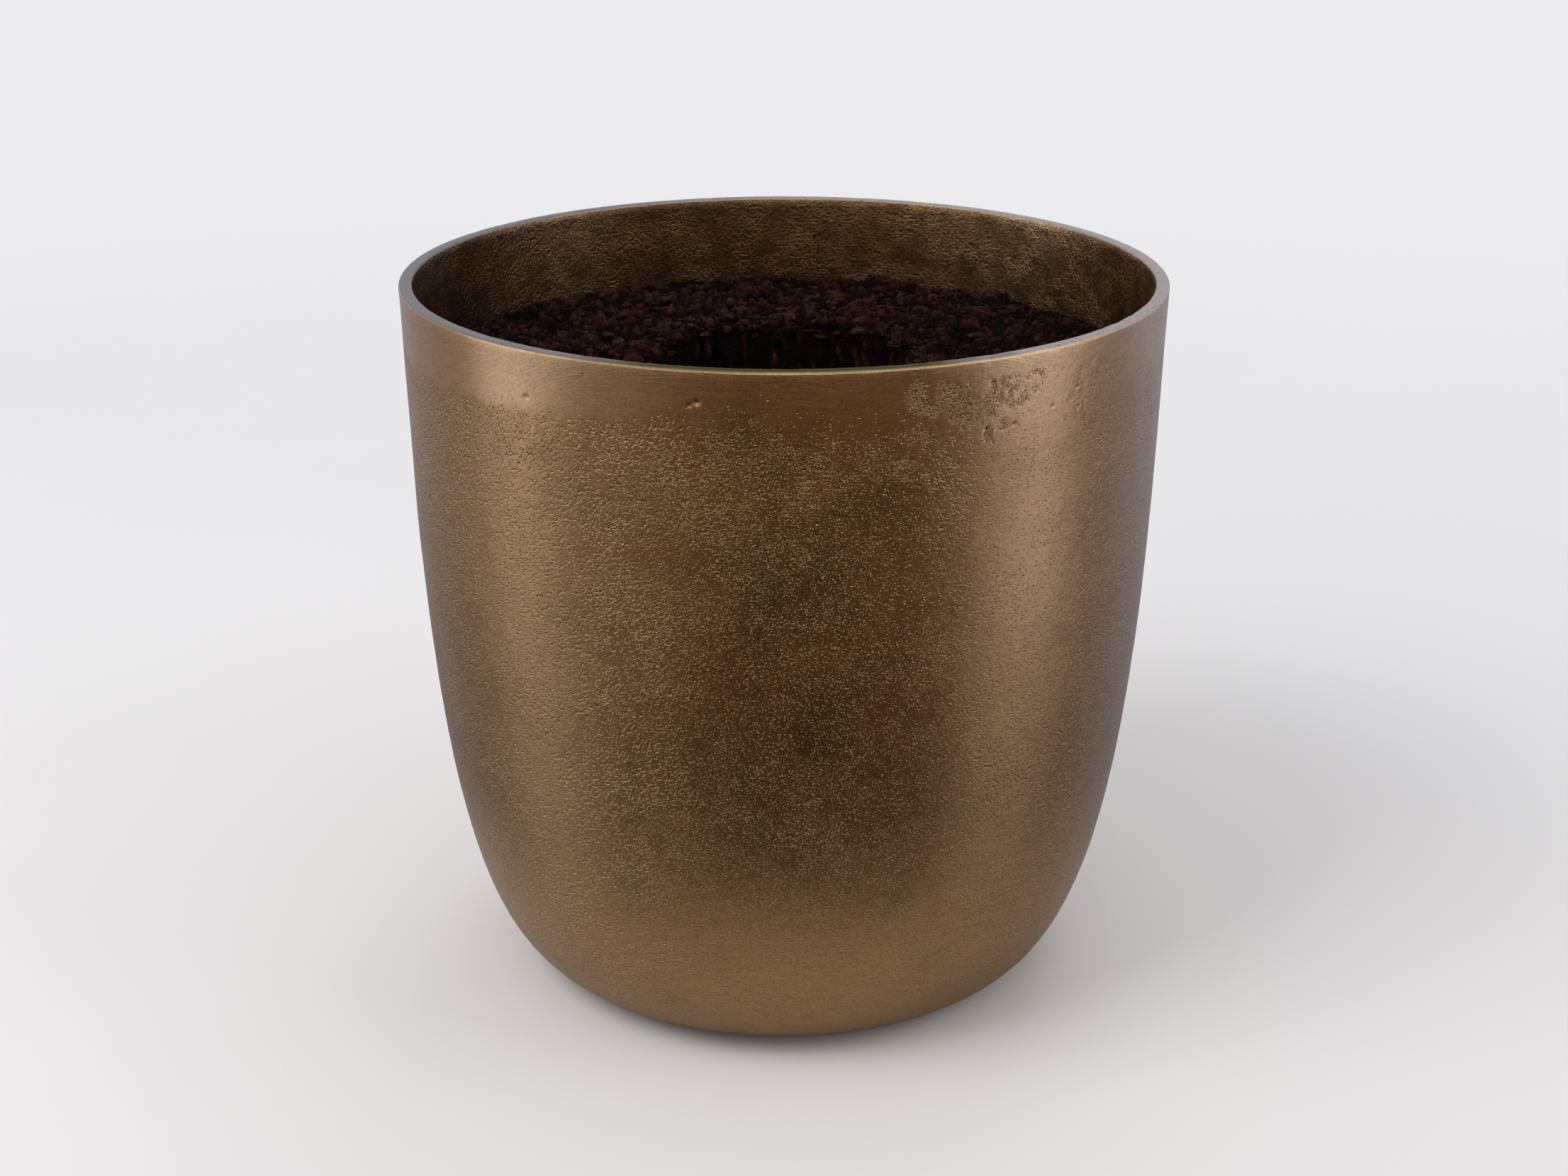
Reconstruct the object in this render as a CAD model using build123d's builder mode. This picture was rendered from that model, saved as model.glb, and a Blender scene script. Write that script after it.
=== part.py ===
"""A cast brass planter pot with its drop-in liner, potting soil, drain plug and floor pads.

The pot stands on its pads at z = 0, with its axis on Z and its rim at the top.
"""

import os

from build123d import *

# Driving dimensions, in millimetres
rim_radius = 130.0  # the pot's widest circle, at the outer edge of its rim
pot_height = 250.0  # from the floor it stands on to the top of the rim
wall = 4.6  # cast wall, measured at the rim
floor_thickness = 5.4
pad_height = 3.0
soil_below_rim = 31.0

# Pot: a drafted upper wall that runs on into a rounded lower wall
draft = 0.025  # radius lost per millimetre down the upper wall
upper_wall = 70.0  # length of the straight, drafted part
foot_radius = 84.0  # where the rounded lower wall meets the flat foot ring
foot_swell = 36.0  # how far the curve runs flat from the foot
shoulder_reach = 59.0  # how far the curve follows the upper wall's line
rim_edge = 1.0  # rounding of the ground rim's two edges
recess_radius = 62.0  # the underside is hollow inside the foot ring
recess_depth = 3.0
recess_edge = 1.5

# Drain hole and its rubber plug
drain_radius = 8.0
plug_clearance = 0.05
plug_seat_gap = 0.1
flange_radius = 13.0
flange_thickness = 2.3
plug_edge = 0.6

# Felt pads under the foot ring
pad_count = 4
pad_radius = 9.5
pad_circle = (recess_radius + foot_radius) / 2
pad_first_angle = 45.0
pad_edge = 0.4

# Liner: a tapered plastic inner pot with a rolled rim
liner_wall = 1.8
liner_gap = 0.8  # between the liner's rim and the pot's wall
liner_stand_off = 0.2  # above the pot's floor
liner_foot_radius = 77.0
liner_floor_raise = 4.0  # the liner's floor stands above its own foot
liner_rim_width = 4.0
liner_rim_depth = 7.0
liner_rim_below_soil = 2.5
rib_count = 16
rib_depth = 1.2
rib_width = 2.0
rib_ends = (0.08, 0.86)  # the share of the wall's height between which a rib runs
liner_hole_radius = 5.0
liner_hole_circle = 48.0
liner_hole_count = 8

# Potting soil
soil_gap = 0.3
soil_mound = 3.0  # how far the surface rises from the liner to the pocket
pocket_radius = 46.0  # planting pocket, where a plant's root ball goes
pocket_depth = 80.0
pocket_edge = 5.0

# Heights and radii that follow from the above
base_z = pad_height
recess_z = base_z + recess_depth
floor_z = recess_z + floor_thickness
shoulder_z = pot_height - upper_wall
soil_z = pot_height - soil_below_rim
liner_base_z = floor_z + liner_stand_off
liner_floor_z = liner_base_z + liner_floor_raise
liner_top_z = soil_z - liner_rim_below_soil


def wall_radius(z, inset=0.0):
    """Radius of the drafted upper wall at height z, moved in by inset."""
    return rim_radius - draft * (pot_height - z) - inset


def side_curve(inset, bottom_z):
    """The pot's side from its flat bottom up to the rim, moved in by inset."""
    foot = (foot_radius - inset, bottom_z)
    swell = (foot_radius + foot_swell - inset, bottom_z)
    shoulder = (wall_radius(shoulder_z, inset), shoulder_z)
    reach = (wall_radius(shoulder_z - shoulder_reach, inset), shoulder_z - shoulder_reach)
    Bezier(foot, swell, reach, shoulder)
    Line(shoulder, (rim_radius - inset, pot_height))


def liner_radius(z, inset=0.0):
    """Radius of the liner's tapered wall at height z, moved in by inset."""
    top_radius = wall_radius(liner_top_z, wall) - liner_gap - liner_rim_width
    share = (z - liner_base_z) / (liner_top_z - liner_base_z)
    return liner_foot_radius + share * (top_radius - liner_foot_radius) - inset


# Pot shell: one casting, revolved from its wall section, with a ground rim and a drain hole
with BuildPart() as pot_shell:
    with BuildSketch(Plane.XZ):
        with BuildLine():
            side_curve(0, base_z)
            Line((rim_radius, pot_height), (rim_radius - wall, pot_height))
            side_curve(wall, floor_z)
            Polyline(
                (foot_radius - wall, floor_z),
                (0, floor_z),
                (0, recess_z),
                (recess_radius, recess_z),
                (recess_radius, base_z),
                (foot_radius, base_z),
            )
        make_face()
    revolve(axis=Axis.Z)
    rim_edges = pot_shell.edges().filter_by(GeomType.CIRCLE).group_by(Axis.Z)[-1]
    fillet(rim_edges, rim_edge)
    foot_edges = pot_shell.edges().filter_by(GeomType.CIRCLE).group_by(Axis.Z)[0]
    fillet(foot_edges.sort_by(SortBy.RADIUS)[0], recess_edge)
    with Locations((0, 0, floor_z)):
        Hole(drain_radius, depth=floor_thickness)
pot_shell.part.label = "pot_shell"

# Floor pads: felt discs stuck under the foot ring
with BuildPart() as floor_pads:
    with BuildSketch():
        with PolarLocations(pad_circle, pad_count, start_angle=pad_first_angle):
            Circle(pad_radius)
    extrude(amount=pad_height)
    chamfer(floor_pads.edges().group_by(Axis.Z)[0], pad_edge)
floor_pads.part.label = "floor_pads"

# Drain plug: a rubber stopper pushed up into the drain hole from below
flange_top_z = recess_z - plug_seat_gap
with BuildPart() as drain_plug:
    with BuildSketch(Plane.XY.offset(flange_top_z - flange_thickness)):
        Circle(flange_radius)
    extrude(amount=flange_thickness)
    with BuildSketch(Plane.XY.offset(flange_top_z)):
        Circle(drain_radius - plug_clearance)
    extrude(amount=floor_thickness)
    rounded = drain_plug.edges().filter_by(GeomType.CIRCLE).group_by(Axis.Z)
    chamfer(rounded[-1], plug_edge)
    fillet(rounded[0], plug_edge)
drain_plug.part.label = "drain_plug"

# Liner: tapered wall, raised floor with drainage holes, rolled rim and outer ribs
rim_outer = liner_radius(liner_top_z) + liner_rim_width
with BuildPart() as liner:
    with BuildSketch(Plane.XZ):
        with BuildLine():
            Polyline(
                (0, liner_floor_z),
                (liner_radius(liner_base_z, liner_wall), liner_floor_z),
                (liner_radius(liner_base_z, liner_wall), liner_base_z),
                (liner_radius(liner_base_z), liner_base_z),
                (liner_radius(liner_top_z - liner_wall), liner_top_z - liner_wall),
                (rim_outer - liner_wall, liner_top_z - liner_wall),
                (rim_outer - liner_wall, liner_top_z - liner_rim_depth),
                (rim_outer, liner_top_z - liner_rim_depth),
                (rim_outer, liner_top_z),
                (liner_radius(liner_top_z, liner_wall), liner_top_z),
                (
                    liner_radius(liner_floor_z + liner_wall, liner_wall),
                    liner_floor_z + liner_wall,
                ),
                (0, liner_floor_z + liner_wall),
                close=True,
            )
        make_face()
    revolve(axis=Axis.Z)
    rim_corner = liner.edges().filter_by(GeomType.CIRCLE).group_by(Axis.Z)[-1]
    fillet(rim_corner.sort_by(SortBy.RADIUS)[-1], liner_wall * 0.8)

    liner_wall_height = liner_top_z - liner_base_z
    rib_low, rib_high = (liner_base_z + share * liner_wall_height for share in rib_ends)
    with BuildPart(mode=Mode.PRIVATE) as rib:
        with BuildSketch(Plane.XZ):
            with BuildLine():
                Polyline(
                    (liner_radius(rib_low, liner_wall / 2), rib_low),
                    (liner_radius(rib_low, -rib_depth), rib_low),
                    (liner_radius(rib_high, -rib_depth), rib_high),
                    (liner_radius(rib_high, liner_wall / 2), rib_high),
                    close=True,
                )
            make_face()
        extrude(amount=rib_width / 2, both=True)
    with PolarLocations(0, rib_count):
        add(rib.part)

    with BuildSketch(Plane.XY.offset(liner_floor_z)):
        with PolarLocations(liner_hole_circle, liner_hole_count):
            Circle(liner_hole_radius)
        Circle(liner_hole_radius)
    extrude(amount=liner_wall, mode=Mode.SUBTRACT)
liner.part.label = "liner"

# Potting soil: fills the liner and has a pocket for a plant's root ball
soil_bottom_z = liner_floor_z + liner_wall + soil_gap
soil_edge_radius = liner_radius(soil_z - soil_mound, liner_wall + soil_gap)
with BuildPart() as potting_soil:
    with BuildSketch(Plane.XZ):
        with BuildLine():
            Polyline(
                (0, soil_z - pocket_depth),
                (0, soil_bottom_z),
                (liner_radius(soil_bottom_z, liner_wall + soil_gap), soil_bottom_z),
                (soil_edge_radius, soil_z - soil_mound),
                (pocket_radius, soil_z),
                (pocket_radius, soil_z - pocket_depth),
                close=True,
            )
        make_face()
    revolve(axis=Axis.Z)
    pocket_mouth = potting_soil.edges().filter_by(GeomType.CIRCLE).group_by(Axis.Z)[-1]
    fillet(pocket_mouth, pocket_edge)
potting_soil.part.label = "potting_soil"

os.makedirs("parts", exist_ok=True)
for piece in (pot_shell, floor_pads, drain_plug, liner, potting_soil):
    export_step(piece.part, f"parts/{piece.part.label}.step")
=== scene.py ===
"""A cast brass planter pot with its liner, potting soil, drain plug and felt pads, in a plain studio.

Every piece is in metres, in the CAD model's frame: the pot stands at z = 0 with its axis on Z, and
its front faces -Y. Azimuths are measured from the front, positive towards +X.
"""

import math
import random
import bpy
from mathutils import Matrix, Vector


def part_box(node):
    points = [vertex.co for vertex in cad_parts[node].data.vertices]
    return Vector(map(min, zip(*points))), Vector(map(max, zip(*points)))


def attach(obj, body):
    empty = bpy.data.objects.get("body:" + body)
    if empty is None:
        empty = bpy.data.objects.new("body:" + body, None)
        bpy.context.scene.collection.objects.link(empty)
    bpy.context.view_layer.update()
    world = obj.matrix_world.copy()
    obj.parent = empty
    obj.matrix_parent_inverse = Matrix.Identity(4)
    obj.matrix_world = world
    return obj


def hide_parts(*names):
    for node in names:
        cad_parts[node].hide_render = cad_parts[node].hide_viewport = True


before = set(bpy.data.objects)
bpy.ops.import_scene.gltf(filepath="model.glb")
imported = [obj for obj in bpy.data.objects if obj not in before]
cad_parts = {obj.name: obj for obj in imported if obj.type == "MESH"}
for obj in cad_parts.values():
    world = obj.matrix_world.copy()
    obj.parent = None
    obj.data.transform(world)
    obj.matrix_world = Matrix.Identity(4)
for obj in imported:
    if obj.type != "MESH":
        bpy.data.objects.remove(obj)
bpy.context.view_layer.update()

from types import SimpleNamespace

import bmesh
import bpy
import numpy as np
from mathutils import Matrix, Vector, noise

MM = 0.001
RIM_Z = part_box("pot_shell")[1].z
RIM_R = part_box("pot_shell")[1].x

# Mesh density of the pot
COLUMNS = 440  # around the fine rows; the coarse rows have half as many
OUTER_STEP = 2.3 * MM
INNER_STEP = 6.0 * MM
RIM_STEP = 0.3 * MM
RIM_ROUND = 1.1 * MM  # the height of the rim that has the rows of RIM_STEP
FINE_INSIDE = 34 * MM  # how far down the inside the fine rows go
RIM_POINTS = 8  # the last points of the outer section, which belong to the rim's rounding
HALF_WALL = 2.4 * MM  # further than this inside the outer wall counts as the inside when rows are laid
FEATURE_POROSITY = 0.22  # the mesh is refined where the wall is more porous than this
REFINED_DEPTH = 200 * MM  # and no further below the rim than this

# The casting's skin
OUTER_HALF = 2.3 * MM  # less than this inside the outer wall takes the outside's marks
PORES_END = 100  # mm below the rim
NICKS_END = 2  # mm below the rim
FOOT_Z = 3.2 * MM  # below this is the foot ring, which stays almost flat for its pads
DRAIN_CALM = (9 * MM, 24 * MM)  # from where to where the relief fades in round the drain hole
FIELDS = ("cast", "pores", "rim", "inside", "soft")

# Where the ground band below the rim gives way to the pitted casting, as (azimuth in degrees, depth in mm
# where the first pits show, depth in mm where they lie close together)
GROUND_BAND = [
    (-180, 12, 24), (-130, 16, 26), (-90, 13, 24), (-60, 17, 23), (-41, 17, 22), (-34, 17, 22),
    (-24, 15, 21), (-15, 8, 19), (-6, 4, 22), (3, 4, 26), (15, 4, 33), (30, 6, 42),
    (42, 8, 40), (60, 8, 26), (80, 14, 28), (110, 10, 22), (150, 17, 30), (180, 12, 24),
]

# Open porosity in the casting, as (azimuth, depth below the rim in mm, half width in degrees, half height
# in mm, weight)
POROSITY = [
    (17.5, 8.3, 1.3, 4.4, 1.0), (19.5, 13.7, 1.3, 2.0, 0.9), (17.9, 20.5, 2.6, 3.2, 0.6),
    (22.2, 11.0, 1.8, 5.0, 1.0), (24.6, 14.2, 2.4, 5.8, 1.0), (28.2, 13.0, 2.0, 5.0, 0.9),
    (31.6, 8.6, 2.2, 2.4, 0.8), (32.2, 13.8, 2.2, 3.0, 0.8), (36.0, 10.0, 3.2, 4.0, 0.55),
    (40.2, 12.5, 2.4, 5.0, 0.5), (47.0, 17.0, 5.5, 11.0, 0.58), (55.0, 30.0, 5.0, 8.0, 0.5),
    (30.6, 21.2, 1.8, 1.8, 0.9), (27.9, 23.4, 0.6, 3.2, 1.0), (16.0, 29.0, 1.6, 1.5, 0.8),
    (17.4, 33.6, 2.2, 2.0, 0.7), (3.0, 34.0, 3.0, 2.0, 0.45), (-118.0, 38.0, 3.0, 6.0, 1.0),
    (-112.0, 33.0, 2.2, 4.0, 0.8), (158.0, 61.0, 3.4, 7.0, 1.0), (163.0, 54.0, 2.0, 4.0, 0.8),
    (98.0, 17.0, 2.2, 4.5, 0.9),
]

# Single gas holes, as (azimuth, depth below the rim in mm, radius in mm, depth in mm)
GAS_HOLES = [
    (-11.3, 9.9, 1.35, 0.6), (-12.3, 10.9, 1.1, 0.4), (-13.2, 40.8, 1.1, 0.8), (-27.0, 4.7, 0.6, 0.2),
    (-1.0, 3.7, 0.6, 0.2), (27.5, 21.4, 0.7, 0.35), (28.0, 23.6, 0.7, 0.4), (28.6, 26.0, 0.5, 0.3),
    (32.1, 21.2, 0.9, 0.4), (38.8, 18.4, 0.8, 0.3), (28.4, 7.4, 0.9, 0.3), (-27.0, 18.4, 0.5, 0.25),
]

# More gas holes, scattered over the sides and the back
HOLE_SEED, HOLE_COUNT = 7, 16


# ---------------------------------------------------------------- small helpers


def smooth(low, high, x):
    """0 below low, 1 above high, and a smooth step between."""
    t = min(1.0, max(0.0, (x - low) / (high - low)))
    return t * t * (3 - 2 * t)


def azimuth(p):
    """Degrees from the front, positive towards +X."""
    return math.degrees(math.atan2(p.x, -p.y))


def link(name, mesh, body):
    """A new piece that rides on a body."""
    piece = bpy.data.objects.new(name, mesh)
    bpy.context.scene.collection.objects.link(piece)
    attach(piece, body)
    return piece


def section(node):
    """A revolved node's closed section, as (radius, height) points in order, from its CAD mesh."""
    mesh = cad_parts[node].data
    cut = {v.index: (round(v.co.x, 6), round(v.co.z, 6)) for v in mesh.vertices
           if abs(v.co.y) < 2e-6 and v.co.x > 0}
    beside = {}
    for edge in mesh.edges:
        a, b = (cut.get(i) for i in edge.vertices)
        if a and b and a != b:
            beside.setdefault(a, set()).add(b)
            beside.setdefault(b, set()).add(a)
    start = min(beside)
    loop, at = [start], min(beside[start], key=lambda p: p[1] - p[0])
    while at != start:
        loop.append(at)
        at = next(p for p in sorted(beside[at]) if p != loop[-2] or len(beside[at]) == 1)
    return loop


def resample(points, step):
    """Points along an open line of (radius, height) points; step gives how far apart they may be."""
    out = [points[0]]
    for a, b in zip(points, points[1:]):
        length = math.dist(a, b)
        gap = step(((a[0] + b[0]) / 2, (a[1] + b[1]) / 2))
        if length > gap:
            count = math.ceil(length / gap)
            out += [tuple(p + (q - p) * k / count for p, q in zip(a, b)) for k in range(1, count)]
        if math.dist(out[-1], b) > 0.6 * gap or b == points[-1]:
            out.append(b)
    return out


def revolve(rings, closed):
    """A bmesh from rings of (radius, height, columns); a ring may have half its neighbour's columns."""
    bm = bmesh.new()
    rows = []
    for radius, height, columns in rings:
        turns = [math.tau * j / columns for j in range(columns)]
        rows.append([bm.verts.new((radius * math.sin(t), -radius * math.cos(t), height)) for t in turns])
    for low, high in zip(rows, rows[1:] + rows[:closed]):
        n, m = len(low), len(high)
        for j in range(min(n, m)):
            k = j + 1
            if n == m:
                bm.faces.new((low[j], low[k % n], high[k % m], high[j]))
            elif n > m:
                bm.faces.new((low[2 * j], low[2 * j + 1], low[2 * k % n], high[k % m], high[j]))
            else:
                bm.faces.new((low[j], low[k % n], high[2 * k % m], high[2 * j + 1], high[2 * j]))
    return bm


def finish_mesh(bm, name, fields=None):
    """The bmesh as a smooth-shaded mesh with the given per-vertex float fields."""
    mesh = bpy.data.meshes.new(name)
    bm.to_mesh(mesh)
    bm.free()
    mesh.polygons.foreach_set("use_smooth", [True] * len(mesh.polygons))
    for field, values in (fields or {}).items():
        mesh.attributes.new(field, "FLOAT", "POINT").data.foreach_set("value", values)
    mesh.update()
    return mesh


# ---------------------------------------------------------------- the pot's marks


def pitting(az, depth):
    """How closely the pits lie, 0 to 1, at an azimuth and a depth below the rim in mm."""
    at, starts, fulls = zip(*GROUND_BAND)
    return smooth(float(np.interp(az, at, starts)), float(np.interp(az, at, fulls)), depth)


def porosity(az, depth):
    """How porous the wall is, 0 to 1, at an azimuth and a depth below the rim in mm."""
    best = 0.0
    for a, d, half_a, half_d, weight in POROSITY:
        u, w = (az - a) / half_a, (depth - d) / half_d
        if abs(u) < 2.2 and abs(w) < 2.2:
            best = max(best, weight * min(1.0, 1.5 * math.exp(-0.7 * (u * u + w * w))))
    return best


def scattered_holes():
    """Gas holes at random places off the front, in the form of GAS_HOLES."""
    rng = random.Random(HOLE_SEED)
    holes = []
    for _ in range(HOLE_COUNT):
        az = (rng.uniform(50, 330) + 180) % 360 - 180
        holes.append((az, rng.uniform(6, 190), rng.uniform(0.6, 1.4), rng.uniform(0.2, 0.5)))
    return holes


holes = GAS_HOLES + scattered_holes()


def gas_hole(az, depth, ragged):
    """How far a gas hole sinks the wall at a point, in mm; ragged, about 0, makes its outline uneven."""
    sunk = 0.0
    for a, d, radius, deep in holes:
        away = math.hypot(math.radians(az - a) * RIM_R / MM, 1.25 * (depth - d)) / radius
        if away < 1.8:
            sunk = max(sunk, deep * (1 - smooth(0.25, 1.05, away + 0.5 * ragged)))
    return sunk


def open_pores(p, az, depth):
    """How open the wall's pores are at a point, 0 to 1: ragged clusters inside the porous patches."""
    patch = porosity(az, depth)
    ragged = patch + 0.30 * noise.noise(p * 150) + 0.40 * noise.noise(p * 330) + 0.30 * noise.noise(p * 800)
    return min(1.0, max(0.0, ragged)) * smooth(0.08, 0.35, patch)


def crumbled(p, porous):
    """How far open pores eat into the wall at a point, in mm."""
    jog = Vector((noise.noise(p * 800), noise.noise(p * 810), 0)) * 0.5
    cell = noise.voronoi(p * 900 + jog)[0][0]
    eaten = 0.05 + 0.14 * (1 - smooth(0.12, 0.5, cell)) + 0.05 * noise.noise(p * 1500)
    return eaten * smooth(0.3, 0.9, porous)


def waves(p, depth):
    """How far the wall swells at a point, in mm, calmer at the rim, with small nicks along the lip."""
    swell = 0.20 * noise.noise(p * 14) + 0.10 * noise.noise(p * 33 + Vector((3, 1, 7)))
    swell *= smooth(0.0, 6.0, depth) * 0.8 + 0.2
    if depth < NICKS_END:
        swell -= 0.30 * max(0.0, noise.noise(p * 190) - 0.26)
        swell -= 0.35 * max(0.0, noise.noise(p * 430) - 0.34)
    return swell


# ---------------------------------------------------------------- the pot

loop = section("pot_shell")
rim_at = max(range(len(loop)), key=lambda i: (loop[i][1], loop[i][0]))
foot_at = max(i for i in range(rim_at) if loop[i][1] <= min(p[1] for p in loop) + 1e-6)
WALL_R, WALL_Z = zip(*loop[foot_at:rim_at - RIM_POINTS])


def outer_radius(z):
    """The outer wall's radius in the CAD model at a height."""
    return float(np.interp(z, WALL_Z, WALL_R))


def pot_step(p):
    """Row spacing along the pot's section."""
    if p[1] > RIM_Z - RIM_ROUND:
        return RIM_STEP
    if p[0] < outer_radius(p[1]) - HALF_WALL:
        return OUTER_STEP if p[1] > RIM_Z - FINE_INSIDE else INNER_STEP
    return OUTER_STEP if p[1] > loop[0][1] else INNER_STEP


def pot_columns(p):
    """How many columns a row of the pot has: fine on the outer wall and high on the inside."""
    inside = p[0] < outer_radius(p[1]) - HALF_WALL
    fine = p[1] > RIM_Z - FINE_INSIDE if inside else p[1] > 3 * loop[0][1]
    return COLUMNS if fine else COLUMNS // 2


def near_mark(face):
    """Whether a face of the outer wall lies at a gas hole or in open porosity."""
    p = face.calc_center_median()
    if p.z < RIM_Z - REFINED_DEPTH or math.hypot(p.x, p.y) < outer_radius(p.z) - 1 * MM:
        return False
    az, depth = azimuth(p), (RIM_Z - p.z) / MM
    for a, d, radius, _ in holes:
        if math.hypot(math.radians(az - a) * RIM_R / MM, depth - d) < 2 * radius + 1:
            return True
    return porosity(az, depth) > FEATURE_POROSITY


def refine_marks(pot):
    """Splits the faces at the marks twice, and puts the new points on the wall's round."""
    for _ in range(2):
        patch = dict.fromkeys(edge for face in pot.faces if near_mark(face) for edge in face.edges)
        bmesh.ops.subdivide_edges(pot, edges=list(patch), cuts=1, use_grid_fill=True)
    for v in pot.verts:
        radius = v.co.xy.length
        on_wall = outer_radius(v.co.z)
        if 12 * MM < v.co.z < RIM_Z - 1.2 * MM and abs(radius - on_wall) < 0.2 * MM:
            v.co.xy *= on_wall / radius
    pot.normal_update()


def weather(pot):
    """Gives the pot the relief of a casting, and returns the fields that the brass is painted from.

    Each field has one value per vertex: how pitted the skin is (cast), how open its pores are, whether
    it is the lip (rim), whether it is inside, and how far it is rubbed smooth (soft).
    """
    fields = {name: [] for name in FIELDS}
    moved = []
    for v in pot.verts:
        p = v.co
        az, depth = azimuth(p), (RIM_Z - p.z) / MM
        outside = p.xy.length > outer_radius(p.z) - OUTER_HALF
        drift = noise.noise(p * 70) * 3.0 + noise.noise(p * 220) * 1.6
        cast = pitting(az, depth + drift) if outside else smooth(1.5, 5.0, depth + drift)
        porous = open_pores(p, az, depth) if outside and depth < PORES_END else 0.0
        crumble = crumbled(p, porous) if porous > 0 else 0.0
        sunk = gas_hole(az, depth, noise.noise(p * 700)) if outside else 0.0
        lumps = 0.055 * noise.noise(p * 150) + 0.05 * noise.noise(p * 330)
        moved.append(v.normal * (waves(p, depth) + cast * lumps - crumble - sunk) * MM)
        fields["cast"].append(cast)
        fields["pores"].append(min(1.0, porous + smooth(0.05, 0.3, sunk)))
        fields["rim"].append(1 - smooth(0.15, 0.65, depth + 0.08 * noise.noise(p * 90)))
        fields["inside"].append(0.0 if outside else 1.0)
        rubbed = math.exp(-(((az - 38) / 11) ** 2 + ((depth - 58) / 38) ** 2))
        fields["soft"].append(rubbed if outside else 0.0)
    for v, d in zip(pot.verts, moved):
        calm = 0.15 if v.co.z < FOOT_Z else 1.0
        v.co += d * calm * smooth(*DRAIN_CALM, v.co.xy.length)
    return fields


def pot_mesh():
    """The pot: the CAD section's outline, laid out in fine rows and weathered."""
    rings = [(r, z, pot_columns((r, z))) for r, z in resample(loop + [loop[0]], pot_step)[:-1]]
    pot = revolve(rings, closed=True)
    refine_marks(pot)
    return finish_mesh(pot, "pot", weather(pot))


pot_piece = link("cast_pot", pot_mesh(), "pot")
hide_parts("pot_shell")


# ---------------------------------------------------------------- node graphs


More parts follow.
